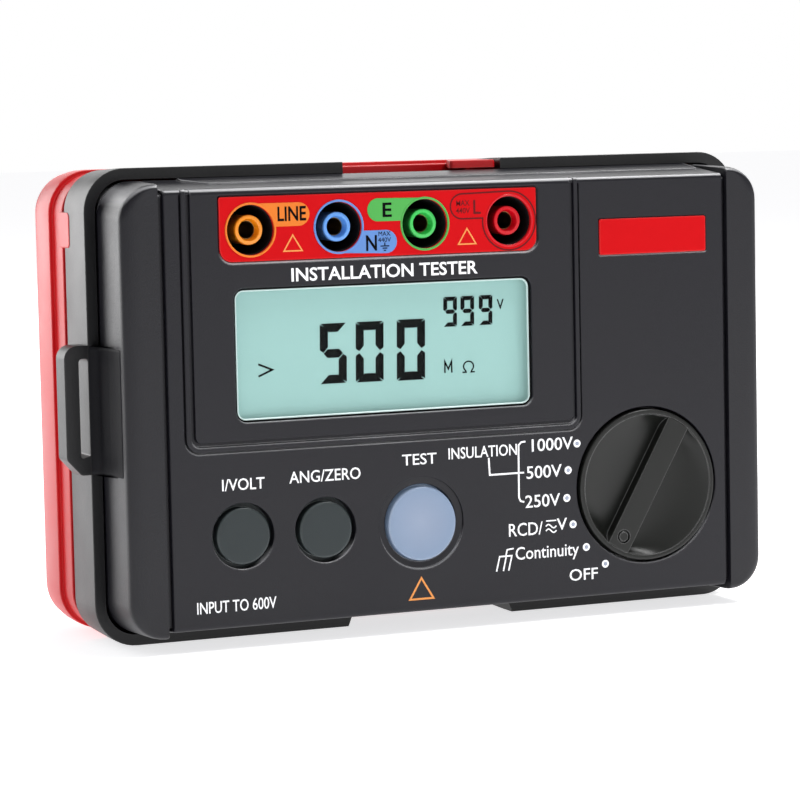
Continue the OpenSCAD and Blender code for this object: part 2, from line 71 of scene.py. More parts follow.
# front and back of each kind of printing
FACE_PRINT = (-0.07, 0.15)
TITLE_PRINT = (-0.37, -0.2)
TAG_PRINT = (-0.24, -0.1)
PLATE_PRINT = (-0.12, 0.1)
PLATE_SIGN = (-0.12, 0.15)
LCD_INK = (2.52, 2.7)


# ---- materials ----

MAT = {}  # every material by its name


def graph(surface):
    """The shader of a material, and short ways to add a node with its values and to link two nodes."""
    tree = surface.node_tree

    def add(kind, operation=None, **inputs):
        node = tree.nodes.new(kind)
        if operation:
            node.operation = operation
        for key, value in inputs.items():
            node.inputs[key.replace("_", " ")].default_value = value
        return node

    def link(a, out, b, into):
        tree.links.new(a.outputs[out], b.inputs[into])

    return tree.nodes["Principled BSDF"], add, link


def blend(add, first=None, second=None):
    """Node that mixes two colours: socket 0 takes the factor, 6 and 7 the colours, and 2 gives the result."""
    node = add("ShaderNodeMix")
    node.data_type = "RGBA"
    for socket, color in ((6, first), (7, second)):
        if color:
            node.inputs[socket].default_value = (*color, 1)
    return node


def edge_wear_and_highlight(add, link, patch, wear_and_highlight, edge_width, paint_top_highlight):
    """Patchy mask of the edges, found where the rounded-off normal leaves the surface's own. It lightens worn
    edges on some materials and paints a highlight line on others; with paint_top_highlight it keeps only the
    edges that face up and adds rounded edges that lean up, as a painted highlight.
    """
    shape = add("ShaderNodeNewGeometry")
    soft = add("ShaderNodeBevel", Radius=edge_width)
    soft.samples = 4
    turn = add("ShaderNodeVectorMath", "DOT_PRODUCT")
    link(shape, "Normal", turn, 0)
    link(soft, "Normal", turn, 1)
    edge = add("ShaderNodeMapRange", From_Min=0.995, From_Max=0.93, To_Max=wear_and_highlight)
    link(turn, "Value", edge, "Value")
    edge_mask = add("ShaderNodeMath", "MULTIPLY")
    link(edge, "Result", edge_mask, 0)
    link(patch, "Fac", edge_mask, 1)
    if not paint_top_highlight:
        return edge_mask

    # painted highlight: the edge mask is kept only on edges that face up, where light from above falls
    parts = add("ShaderNodeSeparateXYZ")
    facing = add("ShaderNodeMapRange", From_Min=0.1, From_Max=0.5)
    link(soft, "Normal", parts, "Vector")
    link(parts, "Z", facing, "Value")
    upward_edge_highlight = add("ShaderNodeMath", "MULTIPLY")
    link(edge_mask, 0, upward_edge_highlight, 0)
    link(facing, "Result", upward_edge_highlight, 1)

    # painted highlight line on rounded edges that lean up, told by their own normal
    lean = add("ShaderNodeSeparateXYZ")
    start = add("ShaderNodeMapRange", From_Min=0.35, From_Max=0.6, To_Max=wear_and_highlight * 0.4)
    stop = add("ShaderNodeMapRange", From_Min=0.95, From_Max=0.8, To_Max=1)
    link(shape, "Normal", lean, "Vector")
    link(lean, "Z", start, "Value")
    link(lean, "Z", stop, "Value")
    ridge_highlight = add("ShaderNodeMath", "MULTIPLY")
    link(start, "Result", ridge_highlight, 0)
    link(stop, "Result", ridge_highlight, 1)
    edge_and_ridge_highlight = add("ShaderNodeMath", "MAXIMUM")
    link(upward_edge_highlight, 0, edge_and_ridge_highlight, 0)
    link(ridge_highlight, 0, edge_and_ridge_highlight, 1)
    return edge_and_ridge_highlight


def material(
    name, color, rough=0.5, spec=0.3, grain=1800.0, bump=0.12, vary=0.1, wear_and_highlight=0.0, worn_and_highlight_color=None,
    rough_vary=0.08, metal=0.0, coat=0.0, alpha=1.0, glow=0.0, smudge=60.0, paint_top_highlight=False, edge_width=0.0005,
):
    """Moulded or metal surface: fine grain bump, patchy tone and roughness, and lighter edges, which are worn
    edges on some materials and a painted highlight line on others.

    With paint_top_highlight, only the edges that face up are lightened, and rounded edges that lean up too,
    as a painted highlight. A glow paints light in the surface's own colour.
    """
    surface = bpy.data.materials.new(name)
    surface.use_nodes = True
    shader, add, link = graph(surface)

    place = add("ShaderNodeTexCoord")
    fine = add("ShaderNodeTexNoise", Scale=grain, Detail=3.0, Roughness=0.6)
    patch = add("ShaderNodeTexNoise", Scale=smudge, Detail=4.0, Roughness=0.55)
    link(place, "Object", fine, "Vector")
    link(place, "Object", patch, "Vector")

    tone = blend(add, [c * (1 - vary) for c in color], [min(c * (1 + vary), 1) for c in color])
    link(patch, "Fac", tone, 0)
    top = tone
    if wear_and_highlight:
        top = blend(add, None, worn_and_highlight_color or [c * 0.6 + 0.12 for c in color])
        link(edge_wear_and_highlight(add, link, patch, wear_and_highlight, edge_width, paint_top_highlight), 0, top, 0)
        link(tone, 2, top, 6)
    link(top, 2, shader, "Base Color")

    polished, dull = max(rough - rough_vary, 0.02), min(rough + rough_vary, 1.0)
    gloss = add("ShaderNodeMapRange", To_Min=polished, To_Max=dull)
    link(patch, "Fac", gloss, "Value")
    link(gloss, "Result", shader, "Roughness")

    relief = add("ShaderNodeBump", Strength=bump, Distance=0.00012)
    link(fine, "Fac", relief, "Height")
    link(relief, "Normal", shader, "Normal")

    shader.inputs["Metallic"].default_value = metal
    shader.inputs["Specular IOR Level"].default_value = spec
    shader.inputs["Coat Weight"].default_value = coat
    shader.inputs["Coat Roughness"].default_value = 0.12
    shader.inputs["Alpha"].default_value = alpha
    if glow:
        shader.inputs["Emission Color"].default_value = (*color, 1)
        shader.inputs["Emission Strength"].default_value = glow
    MAT[name] = surface
    return surface


def board_material():
    """Green solder mask with paler copper tracks under it."""
    surface = material("circuit_board", (0.015, 0.13, 0.05), 0.32, 0.5, grain=900, bump=0.1, coat=0.3)
    shader, add, link = graph(surface)
    place = add("ShaderNodeTexCoord")
    turn = add("ShaderNodeMapping", Rotation=(radians(90), 0, 0))
    tracks = add(
        "ShaderNodeTexBrick", Scale=260, Mortar_Size=0.06,
        Color1=(0.012, 0.10, 0.04, 1), Color2=(0.018, 0.15, 0.06, 1), Mortar=(0.05, 0.30, 0.12, 1),
    )
    link(place, "Object", turn, "Vector")
    link(turn, "Vector", tracks, "Vector")
    link(tracks, "Color", shader, "Base Color")
    return surface


def winding_material():
    """Yellow tape wound in fine turns."""
    surface = material("winding", (0.62, 0.48, 0.06), 0.35, 0.5, grain=700, bump=0.1, coat=0.2)
    shader, add, link = graph(surface)
    place = add("ShaderNodeTexCoord")
    turns = add("ShaderNodeTexWave", Scale=420)
    turns.bands_direction = "Y"
    relief = add("ShaderNodeBump", Strength=0.5, Distance=0.0003)
    link(place, "Object", turns, "Vector")
    link(turns, "Fac", relief, "Height")
    link(relief, "Normal", shader, "Normal")
    return surface


def painted_glow_button_material():
    """Translucent blue-grey cap with a painted warm glow a little left of and above the middle, and a painted
    highlight line on its edges.
    """
    surface = material(
        "lit_button", (0.20, 0.265, 0.38), 0.3, 0.4, grain=1000, bump=0.03, vary=0.12, glow=0.08, smudge=45,
        wear_and_highlight=2.5, worn_and_highlight_color=(0.9, 0.93, 0.98), edge_width=0.0003,
    )
    shader, add, link = graph(surface)
    scale = 130  # the glow fades out over 1 / scale metres
    glow_centre = (TEST_BUTTON[0] - 0.3, FACE_Y - 0.3, TEST_BUTTON[1] + 0.4)
    place = add("ShaderNodeTexCoord")
    move = add("ShaderNodeMapping", Scale=(scale, scale, scale), Location=[-scale * MM * v for v in glow_centre])
    ball = add("ShaderNodeTexGradient")
    ball.gradient_type = "SPHERICAL"
    tint = blend(add, (0.19, 0.27, 0.40), (0.62, 0.58, 0.66))
    link(place, "Object", move, "Vector")
    link(move, "Vector", ball, "Vector")
    link(ball, "Fac", tint, 0)
    link(tint, 2, shader, "Emission Color")
    shader.inputs["Emission Strength"].default_value = 0.16
    return surface


CHARCOAL = (0.0085, 0.0082, 0.012)
# colour of the painted highlight on the edges of the case and grips that face up
PAINTED_EDGE_HIGHLIGHT = (0.6, 0.6, 0.62)
material("case_plastic", CHARCOAL, 0.33, 0.3, grain=2600, bump=0.25, wear_and_highlight=1.2, worn_and_highlight_color=PAINTED_EDGE_HIGHLIGHT, paint_top_highlight=True)
material(
    "grip_plastic", (0.008, 0.0077, 0.011), 0.35, 0.36, grain=2600, bump=0.35, wear_and_highlight=1.0, worn_and_highlight_color=PAINTED_EDGE_HIGHLIGHT,
    paint_top_highlight=True,
)
material("guard_rubber", (0.003, 0.003, 0.004), 0.4, 0.42, grain=1800, bump=0.25, wear_and_highlight=0.35)
material("matt_rubber", (0.006, 0.006, 0.008), 0.6, 0.16, grain=1800, bump=0.35)
material(
    "cover_plastic", (0.60, 0.004, 0.008), 0.36, 0.3, grain=900, bump=0.06, wear_and_highlight=0.35,
    worn_and_highlight_color=(0.9, 0.22, 0.2),
)
material("seal_rubber", (0.008, 0.008, 0.008), 0.8, 0.1, grain=1500, bump=0.6)
material("steel_screws", (0.6, 0.6, 0.62), 0.3, 0.5, grain=1200, bump=0.2, metal=1.0)
material(
    "red_plate", (0.60, 0.004, 0.007), 0.4, 0.06, grain=2200, bump=0.06, vary=0.05, wear_and_highlight=0.3,
    worn_and_highlight_color=(0.9, 0.2, 0.18),
)
material(
    "clear_lens", (0.02, 0.03, 0.03), 0.05, 0.5, grain=300, bump=0.0, vary=0.02, rough_vary=0.02,
    alpha=0.05,
)
# pale teal of a painted highlight along the window's edge
material("painted_lens_highlight", (0.60, 0.76, 0.74), 0.25, 0.5, grain=900, bump=0.02, vary=0.1)
# the display's glow is painted light that keeps it bright in the shade of its recess
material("lcd", (0.28, 0.47, 0.445), 0.35, 0.1, grain=1400, bump=0.01, vary=0.04, glow=0.5, smudge=25)
material("lcd_ink", (0.001, 0.001, 0.001), 0.5, 0.05, grain=1400, bump=0.02)
material("white_plastic", (0.74, 0.73, 0.68), 0.45, 0.35, grain=1500, bump=0.1, vary=0.04)
material("zebra_rubber", (0.78, 0.28, 0.36), 0.7, 0.3, grain=1500, bump=0.2)
board_material()
material("black_plastic", (0.008, 0.008, 0.009), 0.5, 0.25, grain=1600, bump=0.15)
for name, color in (
    ("amber", (0.90, 0.30, 0.008)), ("blue", (0.12, 0.36, 0.86)), ("green", (0.04, 0.60, 0.10)),
):
    material(f"{name}_plastic", color, 0.28, 0.5, grain=1200, bump=0.05, coat=0.2)
material("red_plastic", (0.62, 0.003, 0.012), 0.3, 0.3, grain=1200, bump=0.05)
material("contact_brass", (0.3, 0.21, 0.09), 0.32, 0.5, grain=900, bump=0.12, metal=1.0)
# the caps' lighter edges are a painted highlight line round their rims
material(
    "button_plastic", (0.025, 0.033, 0.035), 0.42, 0.3, grain=2600, bump=0.2, wear_and_highlight=2.0,
    worn_and_highlight_color=(0.45, 0.5, 0.5), edge_width=0.0003,
)
painted_glow_button_material()
material("spring_steel", (0.68, 0.68, 0.7), 0.22, 0.5, grain=900, bump=0.1, metal=1.0)
material("led", (0.8, 0.86, 0.95), 0.15, 0.5, grain=600, bump=0.02, coat=0.4)
# the knob's lighter edges are a painted highlight line
material(
    "knob_plastic", (0.0085, 0.0092, 0.008), 0.34, 0.3, grain=2600, bump=0.12, wear_and_highlight=0.6,
    worn_and_highlight_color=(0.4, 0.4, 0.4), edge_width=0.0003,
)
winding_material()
material("relay_case", (0.03, 0.12, 0.40), 0.3, 0.5, grain=900, bump=0.05, wear_and_highlight=0.3)
material("capacitor_sleeve", (0.02, 0.03, 0.05), 0.3, 0.5, grain=900, bump=0.05, coat=0.3)
material("resistor_body", (0.50, 0.42, 0.28), 0.6, 0.3, grain=1300, bump=0.3)
material("fuse_glass", (0.8, 0.86, 0.86), 0.1, 0.5, grain=400, bump=0.02, alpha=0.45)
material("cell_jacket", (0.04, 0.16, 0.46), 0.28, 0.5, grain=700, bump=0.04, coat=0.3)
# the print's glow is painted light that makes it brighter than its lighting
material("white_print", (0.93, 0.93, 0.95), 0.5, 0.2, grain=2400, bump=0.1, vary=0.04, glow=0.15)
material("orange_print", (0.85, 0.33, 0.09), 0.5, 0.2, grain=2400, bump=0.1, vary=0.05)
for name, color in (
    ("amber", (0.80, 0.21, 0.03)), ("blue", (0.13, 0.27, 0.62)), ("green", (0.09, 0.42, 0.09)),
):
    material(f"{name}_print", color, 0.42, 0.1, grain=2400, bump=0.06, vary=0.05)
material("dark_red_print", (0.13, 0.001, 0.003), 0.5, 0.2, grain=2400, bump=0.06, vary=0.08)
material("dot_tint", (0.36, 0.40, 0.50), 0.5, 0.2, grain=2400, bump=0.1)
material("black_print", (0.002, 0.002, 0.003), 0.6, 0.06, grain=2400, bump=0.06)


# ---- outlines: each is a function of its inset that gives (x, z) points, anticlockwise ----


def outline(corners, steps=6):
    """Closed outline with rounded corners, given anticlockwise as (x, z, radius)."""

    def at(inset=0.0):
        points = []
        for k, (x, z, r) in enumerate(corners):
            here = Vector((x, z))
            u = (here - Vector(corners[k - 1][:2])).normalized()
            v = (Vector(corners[(k + 1) % len(corners)][:2]) - here).normalized()
            nu, nv = Vector((-u.y, u.x)), Vector((-v.y, v.x))
            side = 1 if u.x * v.y - u.y * v.x > 0 else -1
            half = acos(max(-1.0, min(1.0, u.dot(v)))) / 2
            r = max(r - side * inset, 0.04)
            tip = here + (nu + nv) * (inset / (1 + nu.dot(nv)))
            start = tip - u * (r * tan(half))
            centre = start + nu * (side * r)
            arm = start - centre
            for i in range(steps + 1):
                points.append(centre + Matrix.Rotation(side * 2 * half * i / steps, 2) @ arm)
        return [(p.x, p.y) for p in points]

    return at


def rect(x0, x1, z0, z1, r, steps=6):
    """Outline of a rounded rectangle; r is one radius, or four from the bottom left, anticlockwise."""
    a, b, c, d = r if isinstance(r, tuple) else (r,) * 4
    return outline([(x0, z0, a), (x1, z0, b), (x1, z1, c), (x0, z1, d)], steps)


def disc(x, z, r, steps=64):
    """Outline of a circle."""
    angles = [2 * pi * i / steps for i in range(steps)]
    return lambda inset=0.0: [(x + (r - inset) * cos(a), z + (r - inset) * sin(a)) for a in angles]


def window_shape():
    """Outline of the opening over the display."""
    x, z, w, h = WINDOW
    return rect(x - w / 2, x + w / 2, z - h / 2, z + h / 2, 2.5)


# ---- depth profiles: lists of (inset, depth) from the front to the back ----


def quarter(steps):
    """Sine and cosine of angles through a quarter turn."""
    return [(sin(pi / 2 * i / steps), cos(pi / 2 * i / steps)) for i in range(steps + 1)]


def rounded(front, back, r=0.3, rear=0.15):
    """Side of a plate whose front and rear edges are rounded."""
    profile = [(r - r * s, front + r - r * c) for s, c in quarter(4)]
    return profile + [(0, back - rear), (rear * 0.3, back - rear * 0.3), (rear, back)]


def mouth(front, back, r=0.3):
    """Side of a hole whose front edge is rounded outwards."""
    return [(r * s - r, front + r - r * c) for s, c in quarter(3)] + [(0, back)]


# ---- solids: each is (vertices, faces), closed ----


def rings(shape, profile):
    """Sections of one outline at each (inset, depth) of a profile."""
    return [[(x, d, z) for x, z in shape(inset)] for inset, d in profile]


def loft(sections, closed=False):
    """Solid through sections with the same number of points; the ends are capped, or joined if closed."""
    n = len(sections[0])
    vertices = [p for s in sections for p in s]
    faces = []
    for k in range(len(sections) if closed else len(sections) - 1):
        a, b = k * n, (k + 1) % len(sections) * n
        faces += [(a + i, a + (i + 1) % n, b + (i + 1) % n, b + i) for i in range(n)]
    if not closed:
        faces += [tuple(range(n)), tuple(range(len(vertices) - n, len(vertices)))]
    return vertices, faces


def plate(side, holes=(), blind=()):
    """Solid whose side is a list of rings from front to back, with through and blind holes given as rings."""
    vertices, faces = [], []

    def strip(sections):
        base, n = len(vertices), len(sections[0])
        vertices.extend(p for s in sections for p in s)
        for k in range(len(sections) - 1):
            a, b = base + k * n, base + (k + 1) * n
            faces.extend((a + i, a + (i + 1) % n, b + (i + 1) % n, b + i) for i in range(n))
        return list(range(base, base + n)), list(range(len(vertices) - n, len(vertices)))

    def cap(loops):
        index = [i for loop in loops for i in loop]
        flat = [[Vector((vertices[i][0], vertices[i][2], 0)) for i in loop] for loop in loops]
        faces.extend(tuple(index[i] for i in t) for t in tessellate_polygon(flat))

    outer, through, pits = strip(side), [strip(h) for h in holes], [strip(h) for h in blind]
    cap([outer[0]] + [h[0] for h in through + pits])
    cap([outer[1]] + [h[1] for h in through])
    faces.extend(tuple(p[1]) for p in pits)
    return vertices, faces


def slab(shape, front, back, r=0.3, rear=0.15):
    """Plain plate with rounded edges."""
    return loft(rings(shape, rounded(front, back, r, rear)))


def revolve(x, z, profile, closed=False, steps=64):
    """Solid turned about an axis along the depth. The profile is (radius, depth); closed joins its ends."""
    sections = [
        [(x + r * cos(2 * pi * i / steps), d, z + r * sin(2 * pi * i / steps)) for i in range(steps)]
        for r, d in profile
    ]
    return loft(sections, closed)


def coil(x, z, front, back, radius, wire, turns):
    """Compression spring with closed, flat ends."""
    sides, steps = 8, int(turns * 24)
    sections = []
    for k in range(steps + 1):
        t = k / steps
        a = 2 * pi * turns * t
        ramp = min(max((t * turns - 0.8) / (turns - 1.6), 0), 1)
        d = front + wire + (back - front - 2 * wire) * ramp
        out = Vector((cos(a), 0, sin(a)))
        centre = Vector((x, d, z)) + out * radius
        sections.append([
            tuple(centre + out * (wire * cos(b)) + Vector((0, wire * sin(b), 0)))
            for b in [2 * pi * i / sides for i in range(sides)]
        ])
    return loft(sections)


def path_sweep(path, section):
    """Solid along a path of functions of inset that give (x, z), through a section of (inset, depth)."""
    vertices, faces = loft([[(*p(inset), d) for inset, d in section] for p in path])
    return [(x, d, z) for x, z, d in vertices], faces


def stroke(points, width, depths=FACE_PRINT, closed=False):
    """Flat printed line along (x, z) points."""
    n = len(points)
    front, back = depths
    left, right = [], []
    for k in range(n):
        here = Vector(points[k])
        u = (here - Vector(points[k - 1])).normalized() if k or closed else None
        v = (Vector(points[(k + 1) % n]) - here).normalized() if k < n - 1 or closed else None
        u, v = u or v, v or u
        mitre = Vector((-u.y - v.y, u.x + v.x)) / (1 + u.dot(v)) * width / 2
        left.append(here + mitre)
        right.append(here - mitre)
    if closed:
        corners = ((left, front), (right, front), (right, back), (left, back))
        return loft([[(p.x, d, p.y) for p in side] for side, d in corners], closed=True)
    edge = left + right[::-1]
    return loft([[(p.x, d, p.y) for p in edge] for d in depths])


def lettering(words, x, z, width, height, depths=FACE_PRINT, weight=0.0):
    """Flat printed words, fitted to a box centred on (x, z)."""
    curve = bpy.data.curves.new("words", "FONT")
    curve.body = words
    curve.extrude = 0.1
    curve.offset = weight
    curve.resolution_u = 3
    holder = bpy.data.objects.new("words", curve)
    bpy.context.scene.collection.objects.link(holder)
    bpy.context.view_layer.update()
    mesh = bpy.data.meshes.new_from_object(holder.evaluated_get(bpy.context.evaluated_depsgraph_get()))
    bm = bmesh.new()
    bm.from_mesh(mesh)
    bmesh.ops.remove_doubles(bm, verts=bm.verts, dist=1e-3)
    spans = []
    for axis in (0, 1):
        values = [v.co[axis] for v in bm.verts]
        spans.append((min(values), max(values) - min(values)))
    (left, wide), (low, high) = spans
    vertices = [
        (
            x + ((v.co.x - left) / wide - 0.5) * width,
            depths[v.co.z < 0],
            z + ((v.co.y - low) / high - 0.5) * height,
        )
        for v in bm.verts
    ]
    bm.verts.index_update()
    faces = [tuple(v.index for v in f.verts) for f in bm.faces]
    bm.free()
    bpy.data.objects.remove(holder)
    bpy.data.curves.remove(curve)
    bpy.data.meshes.remove(mesh)
    return vertices, faces


def mirrored(solid):
    """The same solid on the other side of the object."""
    return [(-x, d, z) for x, d, z in solid[0]], solid[1]


SHARP = 35  # degrees that an edge turns by before it shows as an edge


def round_edges(made, width, segments, angle):
    """Bevel on the edges that turn by more than an angle in degrees."""
    edge = made.modifiers.new("edges", "BEVEL")
    edge.width = width * MM
    edge.segments = segments
    edge.limit_method = "ANGLE"
    edge.angle_limit = radians(angle)


def piece(name, solids, finish, body="case", replaces=(), bevel=0.0):
    """One visual piece made of closed solids, riding on a body."""
    bm = bmesh.new()
    for vertices, faces in solids:
        corners = [bm.verts.new((x * MM, (d + FACE_Y) * MM, z * MM)) for x, d, z in vertices]
        for f in faces:
            bm.faces.new([corners[i] for i in f])
    bmesh.ops.recalc_face_normals(bm, faces=bm.faces)
    mesh = bpy.data.meshes.new(name)
    bm.to_mesh(mesh)
    bm.free()
    mesh.shade_smooth()
    for face in mesh.polygons:
        if abs(face.normal.y) > 0.99999:
            face.use_smooth = False
    mesh.set_sharp_from_angle(angle=radians(SHARP))
    mesh.materials.append(MAT[finish])
    made = bpy.data.objects.new(name, mesh)
    bpy.context.scene.collection.objects.link(made)
    if bevel:
        round_edges(made, bevel, 3, SHARP)
    made.modifiers.new("shading", "WEIGHTED_NORMAL").keep_sharp = True
    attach(made, body)
    if replaces:
        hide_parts(*replaces)
    return made


# ---- front case ----


def face_ring(half, low, high, d):
    """Rounded rectangle centred on x = 0, at one depth."""
    return [(x, d, z) for x, z in rect(-half, half, low, high, 0.5, 3)()]


def front_shell():
    """Face block with its rounded front edge, flaring to the skirt, hollow behind, with its openings."""
    edge = 1.15
    side = []
    for s, c in quarter(5):
        drop = edge * (1 - s)
        side.append(face_ring(71.8 - 0.5 * (1 - s), 4.85 + drop, 105.15 - drop, edge * (1 - c)))
    skirt = ((71.8, 4.1, 8.5), (71.8, 3.1, 15.6), (71.5, 3.2, 16.4), (70.9, 3.6, SEAM))
    hollow = ((69.4, 6.2, SEAM), (69.2, 7.4, 2.4))
    side += [face_ring(half, low, TALL - low, d) for half, low, d in skirt + hollow]

    inside = 2.4
    button_well = [(-0.3, 0), (-0.14, 0.04), (-0.03, 0.14), (0, 0.3), (0, inside)]
    test_well = [
        (-1.7, 0), (-1.6, 0.03), (-1.52, 0.12), (-1.5, 0.5), (0.0, 0.6), (0.2, 0.75), (0.25, inside),
    ]
    holes = [rings(disc(x, z, 7.6), button_well) for x, z in SMALL_BUTTONS]
    holes.append(rings(disc(*TEST_BUTTON, 9.3), test_well))
    holes.append(rings(disc(*KNOB, 18.8, 96), mouth(0, inside, 0.35)))
    seat = rect(-68.0, 32.8, 45.1, 103.9, (3.5, 3.5, 0.3, 0.3))
    opening = rect(-66.4, 31.2, 46.7, 101.9, (2, 2, 0.3, 0.3))
    ledge = 0.75
    holes.append(rings(seat, [(-0.12, 0), (0, 0.1), (0, ledge)]) + rings(opening, [(0, ledge), (0, inside)]))
    badge = [rings(rect(38, 67, 86.4, 95.1, 0.3, 3), [(-0.15, 0), (0, 0.12), (0, 0.5)])]
    return plate(side, holes, badge)


def rear_band(top):
    """Raised band along the rear of the top or bottom wall, its front edge cut back at the left end."""
    flip = (lambda z: z) if top else (lambda z: TALL - z)
    front = 8.5
    sections = []
    for x, lead in ((-62.5, 5.0), (-62.2, 4.4), (-57.8, 0.3), (-57.2, 0), (69.0, 0), (69.6, 0.6)):
        start = front + lead
        wall = 105.9 + (start - front) * 0.14
        profile = [
            (start, 104.5), (start, wall + 0.3), (start + 0.25, wall + 0.48), (15.2, 107.3), (15.9, 107.2),
            (16.35, 106.8), (16.45, 106.2), (16.45, 104.5),
        ]
        sections.append([(x, d, flip(z)) for d, z in profile])
    return loft(sections)


def core():
    """Inner wall of the front case that the grips wrap, seen in the seams."""
    walls = (
        (79, 6.1, 1.3), (79.2, 5.9, 1.6), (79.2, 4.4, 16.3), (79.0, 4.6, 16.5), (70.6, 7.0, 16.5),
        (70.6, 7.6, 1.3),
    )
    sections = []
    for half, low, d in walls:
        sections.append([(x, d, z) for x, z in rect(-half, half, low, TALL - low, 5)()])
    return loft(sections, closed=True)


def knob_well():
    """Dish that the knob turns in, with the collar of its shaft."""
    return revolve(*KNOB, [
        (18.8, 1.6), (20.7, 1.6), (20.7, 6.2), (6.9, 6.2), (6.9, 10.4), (4.95, 10.4), (4.95, 4.6), (5.2, 4.4),
        (18.4, 4.4), (18.8, 4.0),
    ], closed=True, steps=96)


piece(
    "front_shell",
    [front_shell(), rear_band(True), rear_band(False), core(), knob_well()],
    "case_plastic",
    replaces=["front_case"],
)


# ---- grips ----


def grip():
    """Right-hand end cap: flat by the seam, then curving back to the side wall."""
    curve = [(77.2, 0.0), (78.6, 0.06), (79.8, 0.22), (80.7, 0.5), (81.25, 0.9), (81.55, 1.5), (81.7, 2.6)]
    sections = []
    for (x, d), (s, _) in zip(curve, quarter(len(curve) - 1)):
        sections.append((x, 1.25 * (1 - s), d))
    sections += [(81.8, 0, 6), (81.8, 0, 16.0), (81.6, 0.25, 16.5), (81.2, 0.6, SEAM)]
    shapes = []
    for x, drop, d in sections:
        corner = min(8.2, max(x - 73.4, 1)) - drop * 0.4
        lead = 0.3 * max(0, 1 - d / 0.8)
        low = 3.5 + drop - min(d, 16) * 0.03
        end_cap = rect(72.6 + lead, x, low, TALL - low, (0.4, corner, corner, 0.4), 10)
        shapes.append([(px, d, pz) for px, pz in end_cap()])
    hollow = rect(74.4, 79.6, 6.2, 103.8, (0.4, 5, 5, 0.4), 10)
    return loft(shapes + rings(hollow, [(0, SEAM), (0, 1.6)]))


# ---- guards ----


def guard_path(gap):
    """Right-hand C, from the top gap round the outer side to the bottom gap, as points of an inset."""
    r = 10
    path = [lambda o: (gap, TALL - o)]
    path += [lambda o, x=x: (x, TALL - o) for x in (gap + 0.3, 50)]
    for (x, z), start in (((74.6, TALL - r), 90), ((74.6, r), 0)):
        for i in range(13):
            a = radians(start - 90 * i / 12)
            path.append(lambda o, a=a, x=x, z=z: (x + (r - o) * cos(a), z + (r - o) * sin(a)))
    path += [lambda o: (50, o), lambda o: (gap + 1.1 - 0.4 * o, o)]
    return path


def strap_loop():
    """Flat handle for the neck strap, with a slot that is wider behind."""
    back = 23.3
    outer = outline([
        (83.0, 40.2, 0.3), (86.9, 40.2, 1.2), (90.3, 43.9, 1.6), (90.3, 69.9, 3.0), (83.0, 69.9, 0.3),
    ])

    def slot(right):
        return outline([(84.65, 44.6, 0.5), (right, 44.0, 0.5), (right, 66.9, 0.8), (84.65, 66.9, 0.8)], 4)

    front_edge = [(-0.2, GUARD_FRONT), (-0.05, GUARD_FRONT + 0.06), (0, GUARD_FRONT + 0.2)]
    hole = rings(slot(86.85), front_edge) + rings(slot(88.4), [(0, back - 0.3), (-0.15, back)])
    return plate(rings(outer, rounded(GUARD_FRONT, back, 0.25, 0.35)), [hole])


def guard():
    """Bumper band: a flat flange in front and a side wall that tapers back, with the strap loop."""
    section = [
        (2.75, 17.3), (2.6, 17.02), (2.5, GUARD_FRONT), (0.25, GUARD_FRONT), (0.1, 17.04), (0.02, 17.15),
        (0, 17.3), (0.1, 22), (0.55, 32.8), (0.75, 33.5), (1.2, 33.95), (1.7, GUARD_BACK), (2.5, GUARD_BACK),
        (2.75, 33.7),
    ]
    return [path_sweep(guard_path(20.5), section), strap_loop()]


def side_pad():
    """Wedge that leads from the side wall out to the strap loop."""
    wedge = outline([
        (80.6, 2.8, 0.2), (81.85, 2.8, 0.5), (82.1, 10.0, 8.0), (82.9, 15.0, 3.0), (84.5, 16.95, 0.2),
        (84.5, 17.6, 0.2), (80.6, 17.6, 0.2),
    ], 5)
    ends = [
        (40.2, 0.6), (40.35, 0.2), (40.8, 0.03), (41.2, 0),
        (68.8, 0), (69.2, 0.03), (69.65, 0.2), (69.8, 0.6),
    ]
    return loft([[(x, d, z) for x, d in wedge(inset)] for z, inset in ends])


for name, flip in (("left", True), ("right", False)):
    turned = mirrored if flip else (lambda s: s)
    piece(f"{name}_grip_cap", [turned(grip())], "grip_plastic", replaces=[f"{name}_grip"])
    piece(f"{name}_bumper", [turned(s) for s in guard()], "guard_rubber", replaces=[f"{name}_guard"])
    piece(f"{name}_side_pad", [turned(side_pad())], "matt_rubber")


# ---- storage cover ----


def cover_shell():
    """Hollow shell with a rounded back, and a recessed field on it."""
    front, wall_end, inner_end = 41.0, 51.4, 51.0
    shape = rect(-85.2, 85.2, 0.9, 109.4, 10.2, 12)
    outside = [(0.3, front), (0.08, 41.12), (0, 41.4), (0, 44), (0.15, 48), (0.55, wall_end)]
    inside = [(2.4, 41.25), (2.4, 44), (2.5, 48), (2.85, inner_end)]
    for s, c in quarter(8)[1:]:
        outside.append((0.55 + 8.4 * (1 - c), wall_end + 8.6 * s))
        inside.append((2.85 + 6.6 * (1 - c), inner_end + 6.6 * s))
    field = rect(-63, 63, 21, 89.5, 8, 12)
    step = [(-0.35, 60.0), (-0.1, 59.9), (0, 59.65), (0.1, 59.4), (0.4, 59.3)]
    return loft(rings(shape, inside[::-1] + [(2.15, front)] + outside) + rings(field, step))


def cover_ribs():
    """Upright finger ribs, five at each end of the field."""
    profile = [(0, 58.9), (0, 59.6), (0.08, 59.8), (0.25, 59.92), (0.5, 59.95)]
    ribs = []
    for k in range(5):
        for sign in (-1, 1):
            mid = sign * (38 + 4.4 * k)
            ribs.append(loft(rings(rect(mid - 0.9, mid + 0.9, 33, 77.5, 0.85, 6), profile)))
    return ribs


